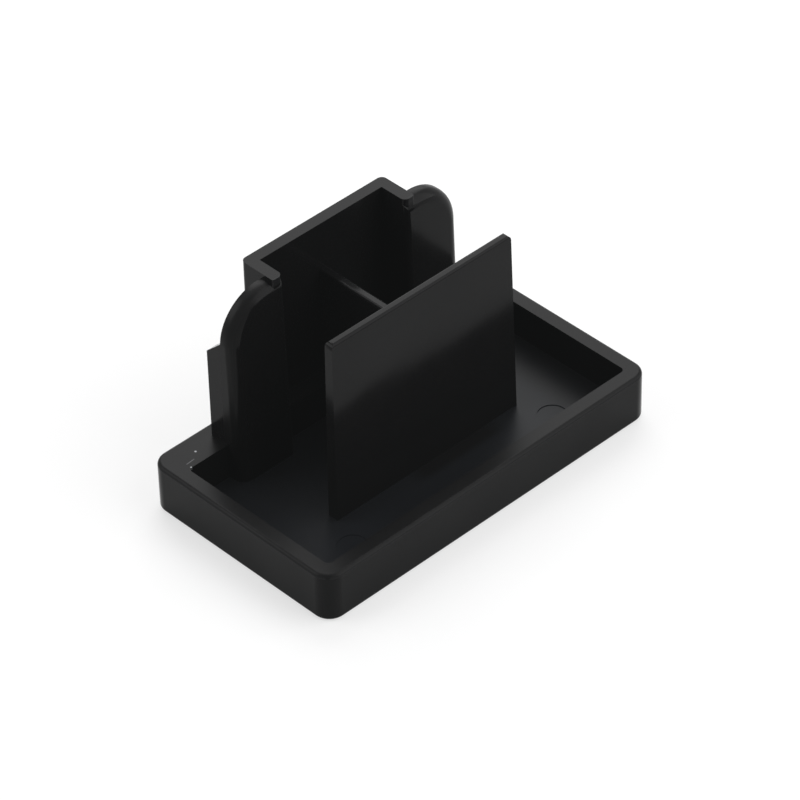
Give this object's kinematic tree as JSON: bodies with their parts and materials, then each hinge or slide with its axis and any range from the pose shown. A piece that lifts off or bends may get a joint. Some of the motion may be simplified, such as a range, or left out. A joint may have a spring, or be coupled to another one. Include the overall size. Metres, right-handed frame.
{
  "type": "track end cap",
  "caption": "Moulded cap for the open end of a lighting track: a shallow rectangular tray that carries a plug of channel, round-tipped wings, slot plate and tie rib.",
  "frame": {"origin": "middle of the flat outer face, which is the side that shows when the cap is fitted", "axes": "+X along the cap's long side, across the track; -Y towards the slot plate; +Z along the plug, into the track"},
  "size_m": [0.035, 0.02, 0.0187],
  "materials": {
    "plastic": "semi-gloss, as moulded"
  },
  "bodies": {
    "root": {"end_cap": "plastic"}
  },
  "joints": []
}
